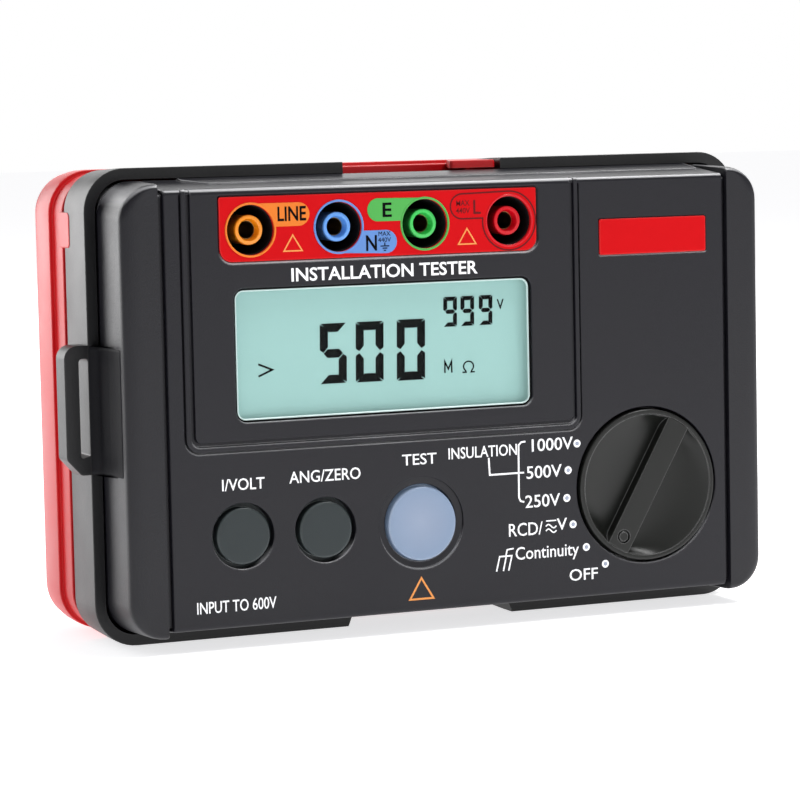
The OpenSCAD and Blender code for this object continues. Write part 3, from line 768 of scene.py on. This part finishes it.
def cover_lip():
    """Rim that reaches forward from the shell to the back of the guards."""
    back = 43
    outer = rings(rect(-84.2, 84.2, 1.6, 108.6, 9.5, 10), [(0.4, 34.4), (0.1, 34.5), (0, 34.8), (0, back)])
    inner = rings(rect(-80.8, 80.8, 5.0, 105.0, 7.5, 10), [(0, back), (0, 34.7), (-0.3, 34.4)])
    return loft(outer + inner, closed=True)


def cover_tab(sign):
    """Snap tab on one side, sunk in the bumper's wall."""
    shape = outline([(28.9, 91.6, 1.4), (36.2, 91.6, 0.4), (36.2, 100.0, 0.4), (28.9, 100.0, 1.4)], 5)
    layers = ((82.2, 0), (83.9, 0), (84.3, 0.15), (84.4, 0.4))
    return loft([[(sign * x, d, z) for d, z in shape(inset)] for x, inset in layers])


def cover_tongue():
    """Tongue over the gap between the guards at the top."""
    shape = outline([(7.6, 18.1, 0.8), (19.8, 18.1, 0.8), (19.8, 35.9, 0.3), (15.1, 35.9, 0.3)], 5)
    layers = ((107.75, 0), (109.2, 0), (109.45, 0.1), (109.55, 0.35))
    return loft([[(x, d, z) for x, d in shape(inset)] for z, inset in layers])


piece(
    "cover_shell",
    [cover_shell(), cover_lip(), *cover_ribs(), cover_tab(-1), cover_tab(1), cover_tongue()],
    "cover_plastic",
    body="cover",
    replaces=["storage_cover"],
)


# ---- display panel, sockets plate and badge ----

TURN_Z, TURN_D, TURN_R = 104.15, 0.8, 1.1  # the face's rounded top edge: its axis and radius


def bent(solid):
    """A flat solid whose upper end is turned back over the face's rounded top edge."""
    moved = []
    for x, d, z in solid[0]:
        a = max(z - TURN_Z, 0) / TURN_R
        if a:
            reach = TURN_D - d
            over = max(a - pi / 2, 0) * TURN_R
            a = min(a, pi / 2)
            z, d = TURN_Z + reach * sin(a), TURN_D - reach * cos(a) + over
        moved.append((x, d, z))
    return moved, solid[1]


def bead():
    """U-shaped border of the panel: a raised bead with a groove inside it."""
    section = [
        (2.35, 0.75), (2.35, 0.5), (1.3, 0.45), (1.15, -0.15), (1.08, -0.26), (0.95, PANEL_FRONT),
        (0.3, PANEL_FRONT), (0.15, -0.26), (0.03, -0.15), (0, 0), (0, 0.75),
    ]
    left, right, low, r = -67.6, 32.4, 45.5, 3.2
    over = TURN_R * pi / 2  # length of the turn over the top edge
    rise = [TURN_Z + over * i / 5 for i in range(1, 6)] + [TURN_Z + over + 0.6]
    path = [lambda o, z=z: (left + o, z) for z in rise[::-1] + [TURN_Z, 75]]
    for cx, start in ((left + r, 180), (right - r, 270)):
        for i in range(9):
            a = radians(start + 90 * i / 8)
            path.append(lambda o, a=a, cx=cx: (cx + (r - o) * cos(a), low + r + (r - o) * sin(a)))
    path += [lambda o, z=z: (right - o, z) for z in [75, TURN_Z] + rise]
    return bent(path_sweep(path, section))


def panel_face():
    """Panel inside the bead, with the window, the recess for the sockets plate and a rounded top edge."""
    def ring(inset, d, high):
        shape = rect(-65.5 + inset, 30.3 - inset, 47.55 + inset, high, (1.5, 1.5, 0.1, 0.1), 4)
        return [(x, d, z) for x, z in shape()]

    back, edge = 1.4, 1.5
    side = [
        ring(0.12 * (1 - s), PANEL_FRONT + edge * (1 - c), 103.75 + edge * s) for s, c in quarter(5)
    ]
    side.append(ring(0, back, 105.25))
    window = rings(window_shape(), mouth(PANEL_FRONT, back, 0.3))
    recess_shape = rect(-58.6, 21.6, 88.2, 103.3, (3.2, 3.2, 0.5, 0.5))
    recess = rings(recess_shape, [(-0.45, PANEL_FRONT), (-0.35, -0.28), (0, 0.1), (0, back)])
    return plate(side, [window, recess])


piece("display_bezel", [bead(), panel_face()], "case_plastic", replaces=["display_panel"])

PLATE_FRONT, PLATE_BACK = -0.08, 0.7
strip_holes = [rings(disc(x, SOCKET_Z, 5.72), mouth(PLATE_FRONT, PLATE_BACK, 0.15)) for x in SOCKETS]
strip_shape = rect(-58.45, 21.45, 88.35, 103.15, (3, 3, 0.5, 0.5))
piece(
    "sockets_plate",
    [plate(rings(strip_shape, rounded(PLATE_FRONT, PLATE_BACK, 0.15)), strip_holes)],
    "red_plate",
    replaces=["jack_strip"],
)
piece(
    "badge",
    [slab(rect(38.1, 66.9, 86.5, 95.0, 0.5, 3), -0.16, 0.45, 0.2)],
    "red_plate",
    replaces=["badge_plate"],
)


def rim(x, r0=5.75, r1=6.25, front=-0.3):
    """Raised ring round a socket."""
    return revolve(x, SOCKET_Z, [
        (r0 + 0.1, front + 0.03), (r0, front + 0.13), (r0, 0.2), (r1, 0.2), (r1, front + 0.12),
        (r1 - 0.1, front + 0.02), (r1 - 0.2, front),
    ], closed=True)


def tag(x, end, low, high):
    """Rounded tab that runs from a socket's ring to a half-round end."""
    way = 1 if end > x else -1
    middle, r = (low + high) / 2, (high - low) / 2 - 0.01
    root = 6.05  # radius of the end under the ring
    a0, a1 = (asin(max(-1, min(1, (z - SOCKET_Z) / root))) for z in (low, high))
    near = [a0 + (a1 - a0) * i / 8 for i in range(9)]
    far = [pi / 2 - pi * i / 12 for i in range(13)]
    shape = [(x + way * root * cos(a), SOCKET_Z + root * sin(a)) for a in near]
    shape += [(end - way * r + way * r * cos(a), middle + r * sin(a)) for a in far]
    return plate([[(px, d, pz) for px, pz in shape] for d in (-0.2, 0.2)])


LINE_X, NEUTRAL_X, EARTH_X, LIVE_X = SOCKETS
for name, x, end, low, high, finish, slot in (
    ("line", LINE_X, -36.3, 96.05, 101.45, "amber_print", "amber_plastic"),
    ("neutral", NEUTRAL_X, -14.6, 89.0, 94.4, "blue_print", "blue_plastic"),
    ("earth", EARTH_X, -21.9, 96.4, 101.75, "green_print", "green_plastic"),
):
    piece(f"{name}_mark", [rim(x), tag(x, end, low, high)], finish, bevel=0.08)
piece("live_mark", [rim(LIVE_X, 5.75, 6.2, -0.22)], "red_plastic")


def capsule_line(x, end, low, high, gap=6.9):
    """Points of the outline of a tag that runs round its socket."""
    middle, r = (low + high) / 2, (high - low) / 2
    a0 = asin((low - SOCKET_Z) / gap)
    sweep = [pi - a0 + (3 * pi / 2 + a0) * i / 36 for i in range(37)]
    far = [pi * i / 12 for i in range(13)]
    points = [(x + gap * cos(a), SOCKET_Z + gap * sin(a)) for a in sweep]
    return points + [(end + r - r * sin(a), middle + r * cos(a)) for a in far]


black = [
    lettering("LINE", -40.7, 98.9, 7.0, 3.3, TAG_PRINT, 0.018),
    lettering("N", -21.05, 91.5, 2.7, 3.6, TAG_PRINT, 0.018),
    lettering("E", -16.95, 99.0, 2.3, 3.3, TAG_PRINT, 0.018),
    *[
        stroke(line, 0.25, TAG_PRINT)  # the earth sign: a stem and three bars
        for line in (
            [(-17.7, 91.5), (-17.7, 90.8)], [(-18.8, 90.7), (-16.6, 90.7)], [(-18.3, 90.2), (-17.1, 90.2)],
            [(-18.0, 89.7), (-17.4, 89.7)],
        )
    ],
    lettering("MAX", -17.75, 93.55, 3.0, 1.0, TAG_PRINT),
    lettering("440V", -17.75, 92.15, 3.2, 1.05, TAG_PRINT),
]
piece("terminal_letters", black, "black_print")
dark = [
    lettering("L", 6.05, 98.95, 1.9, 3.3, PLATE_PRINT, 0.01),
    lettering("MAX", 2.4, 99.95, 3.4, 1.3, PLATE_PRINT, 0.006),
    lettering("440V", 2.4, 98.2, 3.6, 1.3, PLATE_PRINT, 0.006),
    stroke(capsule_line(LIVE_X, -0.8, 96.3, 102.1), 0.36, PLATE_PRINT, closed=True),
]
piece("live_letters", dark, "dark_red_print")


def triangle(x0, x1, z0, z1, width, depths=PLATE_SIGN):
    """Plain warning triangle."""
    return stroke([(x0, z0), (x1, z0), ((x0 + x1) / 2, z1)], width, depths, closed=True)


piece(
    "orange_triangles",
    [
        triangle(-42.8, -38.3, 90.4, 94.0, 0.32),
        triangle(1.1, 5.6, 90.4, 94.0, 0.32),
        triangle(-13.1, -7.1, 7.9, 12.8, 0.45, FACE_PRINT),
    ],
    "orange_print",
)


# ---- printing on the face ----


def wave(z):
    """One cycle of a sine wave, as on an alternating-voltage sign."""
    left, length, swing, steps = 22.6, 2.8, 0.45, 10
    points = [(left + length * i / steps, z + swing * sin(2 * pi * i / steps)) for i in range(steps + 1)]
    return stroke(points, 0.3)


BRACKET = 0.42  # width of the lines that join the insulation ranges
SIGN = 0.35  # width of the lines of the continuity sign
white = [
    lettering("INSTALLATION TESTER", -17.7, 84.95, 47.0, 3.1, TITLE_PRINT, 0.016),
    *[
        lettering(words, x, z, width, height, weight=weight)
        for words, x, z, width, height, weight in (
            ("I/VOLT", -54.1, 37.8, 10.4, 2.7, 0.006),
            ("ANG/ZERO", -33.9, 38.5, 17.8, 2.75, 0.006),
            ("TEST", -10.0, 40.75, 8.8, 2.6, 0.006),
            ("INSULATION", 6.4, 41.5, 17.8, 2.7, 0.006),
            ("1000V", 24.7, 42.15, 10.9, 3.0, 0.006),
            ("500V", 22.4, 35.75, 9.3, 3.0, 0.006),
            ("250V", 21.9, 28.85, 9.2, 3.0, 0.006),
            ("RCD/", 17.3, 22.35, 8.9, 3.1, 0.004),
            ("V", 26.9, 22.9, 2.7, 2.8, 0.006),
            ("Continuity", 22.9, 16.2, 16.8, 4.0, 0.004),
            ("OFF", 32.5, 10.4, 7.6, 2.8, 0.006),
            ("INPUT TO 600V", -56.4, 10.1, 19.4, 2.75, 0.006),
        )
    ],
    stroke([(22.7, 23.9), (25.4, 23.9)], 0.3),
    wave(22.6),
    wave(21.5),
    stroke([(14.0, 18.0), (12.3, 17.8), (11.9, 16.3)], SIGN),
    stroke([(9.4, 12.8), (10.3, 16.3), (13.5, 16.3), (12.6, 12.8)], SIGN),
    stroke([(11.2, 12.8), (12.0, 16.1)], SIGN),
    stroke([(17.6, 43.2), (16.5, 43.1), (15.75, 42.4), (15.65, 30.0), (16.1, 29.1), (17.0, 28.85)], BRACKET),
    stroke([(7.9, 39.9), (8.1, 35.85), (17.1, 35.85)], BRACKET),
]
POSITIONS = (149.4, 167.2, 184.8, 202.3, 220.0, 237.8)  # directions of the marks, in degrees
MARK_CIRCLE = 21.7
dots = []
for a in POSITIONS:
    x, z = KNOB[0] + MARK_CIRCLE * cos(radians(a)), KNOB[1] + MARK_CIRCLE * sin(radians(a))
    white.append(revolve(x, z, [(0.82, -0.08), (0.94, -0.04), (0.94, 0.15)], steps=24))
    dots.append(revolve(x, z, [(0.4, -0.14), (0.48, -0.1), (0.48, 0.15)], steps=20))
piece("face_print", white, "white_print")
piece("position_dots", dots, "dot_tint")


# ---- display ----

lcd_x, lcd_z = WINDOW[:2]
piece(
    "lcd_plate",
    [slab(rect(lcd_x - 37.9, lcd_x + 37.9, lcd_z - 15.7, lcd_z + 15.7, 0.4, 3), 2.6, 4.8, 0.15)],
    "lcd",
    replaces=["lcd_glass"],
)
gasket = [(-0.3, 0.87), (-0.3, 0.5), (0.35, 0.5), (0.42, 0.56), (0.42, 0.87)]
lens_highlight_ring = [(0.42, 0.86), (0.42, 0.5), (0.48, 0.42), (0.66, 0.42), (0.76, 0.5), (0.8, 0.86)]
piece("window_gasket", [loft(rings(window_shape(), gasket), closed=True)], "seal_rubber")
# pale ring in the window's border, in front of the lens: a painted highlight of the lens's edge
piece("lens_highlight_ring", [loft(rings(window_shape(), lens_highlight_ring), closed=True)], "painted_lens_highlight")


def digit(lit, x, z, w, h, t):
    """Seven-segment figure with segments t thick; lit names its segments a to g, as on any such display."""
    gap = 0.07 * t + 0.1
    half = h / 2
    lean = 0.02
    side = [
        (0, half - gap), (t * 0.62, half - gap - t * 0.35), (t, half - gap - t * 0.55), (t, gap + t * 0.62),
        (t * 0.45, gap), (0, gap + t * 0.3),
    ]
    bar = [(gap, 0), (w - gap, 0), (w - t - gap, t), (t + gap, t)]
    middle = [
        (gap + t * 0.35, 0), (t * 0.95, t * 0.5), (w - t * 0.95, t * 0.5), (w - gap - t * 0.35, 0),
        (w - t * 0.95, -t * 0.5), (t * 0.95, -t * 0.5),
    ]
    shapes = {
        "a": [(px, half - pz) for px, pz in bar],
        "b": [(w - px, pz) for px, pz in side],
        "c": [(w - px, -pz) for px, pz in side],
        "d": [(px, -half + pz) for px, pz in bar],
        "e": [(px, -pz) for px, pz in side],
        "f": side,
        "g": middle,
    }
    made = []
    for name in lit:
        points = [(x + px + lean * pz, z + pz) for px, pz in shapes[name]]
        made.append(loft([[(px, d, pz) for px, pz in points] for d in LCD_INK]))
    return made


ink = digit("afgcd", -33.4, 66.3, 6.7, 13.9, 2.0)
ink += digit("abcdef", -24.4, 66.25, 7.0, 14.0, 2.0)
ink += digit("abcdef", -14.0, 66.2, 7.2, 14.2, 2.0)
for x in (-1.9, 2.55, 7.3):
    ink += digit("abcfgd", x, 74.6, 3.5, 7.0, 1.0)
ink += [
    stroke([(-48.7, 64.7), (-45.3, 63.3), (-48.7, 61.9)], 0.45, LCD_INK),
    lettering("V", 12.9, 75.8, 1.8, 2.4, LCD_INK, 0.01),
    stroke([(-1.8, 60.3), (-1.75, 62.9), (-0.9, 61.2), (-0.05, 62.9), (0.0, 60.3)], 0.36, LCD_INK),
    stroke(
        [(2.75, 60.2), (3.7, 60.2)]
        + [(4.35 + 1.3 * cos(radians(a)), 61.55 + 1.2 * sin(radians(a))) for a in range(232, -53, -20)]
        + [(5.0, 60.2), (5.95, 60.2)],
        0.32, LCD_INK,
    ),
]
piece("lcd_figures", ink, "lcd_ink")


# ---- sockets ----

for name, x, finish in (
    ("line", LINE_X, "amber_plastic"), ("neutral", NEUTRAL_X, "blue_plastic"),
    ("earth", EARTH_X, "green_plastic"), ("live", LIVE_X, "red_plastic"),
):
    back = 24.2
    insert = revolve(x, SOCKET_Z, [
        (2.55, back), (2.55, 3.1), (2.1, 3.0), (2.1, 2.4), (2.45, 1.5), (2.5, 1.15), (2.65, 1.0), (3.1, 1.0),
        (3.3, 1.06), (3.42, 1.25), (3.42, 2.4), (3.35, 2.5), (3.35, back),
    ], closed=True)
    piece(f"{name}_insert", [insert], finish, replaces=[f"jack_{name}"])


# ---- buttons and their springs ----


def cap(place, r, proud, stem_end, flange):
    """Round button cap that stands proud of the face, with its flange and stem behind."""
    bore, stem = 0.4, 2.0
    return revolve(*place, [
        (bore, -proud), (r * 0.6, -proud), (r - 0.5, -proud + 0.02), (r - 0.22, -proud + 0.1),
        (r - 0.06, -proud + 0.28), (r, -proud + 0.5), (r, 2.8), (flange, 2.8), (flange, 4.0), (stem, 4.0),
        (stem, stem_end), (bore, stem_end),
    ])


for name, place in zip(("volt", "zero"), SMALL_BUTTONS):
    solid = cap(place, 6.5, 0.25, 7.5, 8.0)
    piece(f"{name}_cap", [solid], "button_plastic", body=f"button_{name}", replaces=[f"button_{name}"])
test_cap = cap((-9.65, 25.6), 8.65, 0.4, 6.9, 10.1)
piece("test_cap", [test_cap], "lit_button", body="button_test", replaces=["button_test"])

SPRING_FRONT, SPRING_BACK = 4.05, 12.55
for name, place, travel in (
    ("volt", SMALL_BUTTONS[0], 1.2), ("zero", SMALL_BUTTONS[1], 1.2), ("test", TEST_BUTTON, 1.8),
):
    wound = coil(*place, SPRING_FRONT, SPRING_BACK, 5.05, 0.38, 5.5)
    spring = piece(f"{name}_coil", [wound], "spring_steel", replaces=[f"spring_{name}"])
    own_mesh(spring)


# ---- selector knob ----

BAR_HALF = 3.0
SCOOP_REACH = 16.95  # radius that the scoops and the base reach, inside the rim
KNOB_BACK = 3.55


def on_knob(along, across, d):
    """Point on the knob, given along its bar and across it."""
    a = radians(POINTER)
    x = KNOB[0] + cos(a) * along + sin(a) * across
    z = KNOB[1] + sin(a) * along - cos(a) * across
    return (x, d, z)


def knob_rim():
    """Raised ring round the knob."""
    return revolve(*KNOB, [
        (16.75, KNOB_BACK), (18.0, KNOB_BACK), (18.2, 3.3), (18.2, -0.1), (18.14, -0.35), (18.0, -0.53),
        (17.8, -0.6), (17.3, -0.6), (17.05, -0.52), (16.9, -0.3), (16.75, 0.2),
    ], closed=True, steps=96)


def knob_base():
    """Ring behind the scoops, round the shaft."""
    shaft, front = 3.05, 3.1
    return revolve(*KNOB, [
        (shaft, KNOB_BACK), (shaft, front), (SCOOP_REACH, front), (SCOOP_REACH, KNOB_BACK),
    ], closed=True, steps=96)


def scoop(sign):
    """Half-moon beside the bar, hollowed most next to it."""
    rows, columns = 28, 12
    span = sqrt(SCOOP_REACH**2 - BAR_HALF**2)
    start = BAR_HALF - 0.3
    top, low = [], []
    for i in range(rows + 1):
        s = -span + 2 * span * i / rows
        far = max(sqrt(max(SCOOP_REACH**2 - s * s, 0)), BAR_HALF + 0.02)
        fade = min(1.0, (far - BAR_HALF) / 6.0 + 0.1)
        for j in range(columns + 1):
            k = j / columns
            t = sign * (start + (far - start) * k)
            top.append(on_knob(s, t, -0.42 + 2.3 * cos(k * pi / 2) ** 1.1 * fade))
            low.append(on_knob(s, t, 3.3))
    n = columns + 1
    grid = []
    for i in range(rows):
        for j in range(columns):
            a, b = i * n + j, (i + 1) * n + j
            grid.append((a, a + 1, b + 1, b))
    m = len(top)
    border = list(range(n)) + [i * n + columns for i in range(1, rows + 1)]
    border += [rows * n + j for j in range(columns - 1, -1, -1)] + [i * n for i in range(rows - 1, 0, -1)]
    sides = [(a, b, b + m, a + m) for a, b in zip(border, border[1:] + border[:1])]
    return top + low, grid + [tuple(m + v for v in f) for f in grid] + sides


def pointer_bar():
    """Bar across the knob, its ends trimmed to the rim, with a round dimple as its mark."""
    end, front = 17.1, -1.0

    def shape(inset=0.0):
        e = end - inset
        a = asin((BAR_HALF - inset) / e)
        points = []
        for turn in (0, pi):
            for i in range(9):
                b = turn - a + 2 * a * i / 8
                points.append(on_knob(e * cos(b), e * sin(b), 0)[::2])
        return points

    x, _, z = on_knob(13.9, 0, 0)
    sides = rings(shape, [(0.3, front), (0.12, -0.96), (0.03, -0.87), (0, -0.7), (0, 3.3)])
    floor_d = -0.1
    dimple = rings(
        disc(x, z, 1.65, 32), [(0, front), (0.02, floor_d), (0.42, floor_d), (0.44, -0.9), (0.55, front)]
    )
    return plate(sides, [], [dimple])


knob_parts = [knob_rim(), knob_base(), scoop(-1), scoop(1), pointer_bar()]
piece("selector_knob", knob_parts, "knob_plastic", body="knob", replaces=["knob"])


# ---- carried-over CAD nodes ----

for part in frame["record"]["subparts"]:
    shape = cad[part["node"]]
    shape.data.materials.clear()
    shape.data.materials.append(MAT[part["material_slot"]])
    if not shape.hide_render:
        shape.data.set_sharp_from_angle(angle=radians(SHARP))
        round_edges(shape, 0.12, 2, 40)


# ---- floor, light and camera ----


def floor():
    """White ground that glows a little, so that it meets the backdrop without a line."""
    mesh = bpy.data.meshes.new("floor")
    s = 6.0
    mesh.from_pydata([(-s, -s, 0), (s, -s, 0), (s, s, 0), (-s, s, 0)], [], [(0, 1, 2, 3)])
    mesh.materials.append(
        material("floor", (0.86, 0.86, 0.87), 0.8, 0.1, grain=80, bump=0.01, vary=0.01, smudge=3, glow=0.82)
    )
    made = bpy.data.objects.new("floor", mesh)
    bpy.context.scene.collection.objects.link(made)
    made.location.z = -0.0002


def softbox(name, place, target, size, power):
    """Rectangular lamp that the camera doesn't see."""
    light = bpy.data.lights.new(name, "AREA")
    light.shape = "RECTANGLE"
    light.size, light.size_y = size
    light.energy = power
    made = bpy.data.objects.new(name, light)
    made.location = place
    made.rotation_euler = (Vector(target) - Vector(place)).to_track_quat("-Z", "Y").to_euler()
    made.visible_camera = False
    bpy.context.scene.collection.objects.link(made)


def backdrop():
    """White backdrop that lights the object less than it shows."""
    world = bpy.data.worlds.new("studio")
    world.use_nodes = True
    tree = world.node_tree
    sky = tree.nodes["Background"]
    seen = tree.nodes.new("ShaderNodeLightPath")
    level = tree.nodes.new("ShaderNodeMapRange")
    level.inputs["To Min"].default_value = 0.3
    level.inputs["To Max"].default_value = 1.0
    tree.links.new(seen.outputs["Is Camera Ray"], level.inputs["Value"])
    tree.links.new(level.outputs["Result"], sky.inputs["Strength"])
    sky.inputs["Color"].default_value = (1, 1, 1, 1)
    bpy.context.scene.world = world


def set_camera(place, yaw, pitch, roll, focal_length):
    """Camera at a place, turned by yaw to the right, by pitch down and by roll about its axis, in degrees."""
    yaw, pitch, roll = radians(yaw), radians(pitch), radians(roll)
    forward = Vector((sin(yaw) * cos(pitch), cos(yaw) * cos(pitch), -sin(pitch)))
    level_right = Vector((cos(yaw), -sin(yaw), 0))
    level_up = level_right.cross(forward)
    right = level_right * cos(roll) + level_up * sin(roll)
    up = level_up * cos(roll) - level_right * sin(roll)
    lens = bpy.data.cameras.new("camera")
    lens.lens = focal_length
    lens.clip_start = 0.01
    camera = bpy.data.objects.new("camera", lens)
    camera.matrix_world = Matrix.Translation(place) @ Matrix((right, up, -forward)).transposed().to_4x4()
    bpy.context.scene.collection.objects.link(camera)
    bpy.context.scene.camera = camera


floor()
softbox("top", (0.5, -0.08, 1.1), (0, 0, 0.05), (1.1, 0.24), 18)
softbox("left", (-0.65, 1.28, 0.3), (-0.08, 0, 0.06), (0.85, 1.1), 12.5)
softbox("back", (0.6, 1.35, 0.62), (0, 0, 0.1), (1.3, 0.8), 4.5)
softbox("right", (0.62, -1.38, 0.3), (0, 0, 0.05), (0.9, 0.9), 1.5)
backdrop()
bpy.context.scene.view_settings.view_transform = "Standard"
set_camera((-0.32555, -0.72552, 0.12272), 24.057, 5.086, -1.2, 148.5)
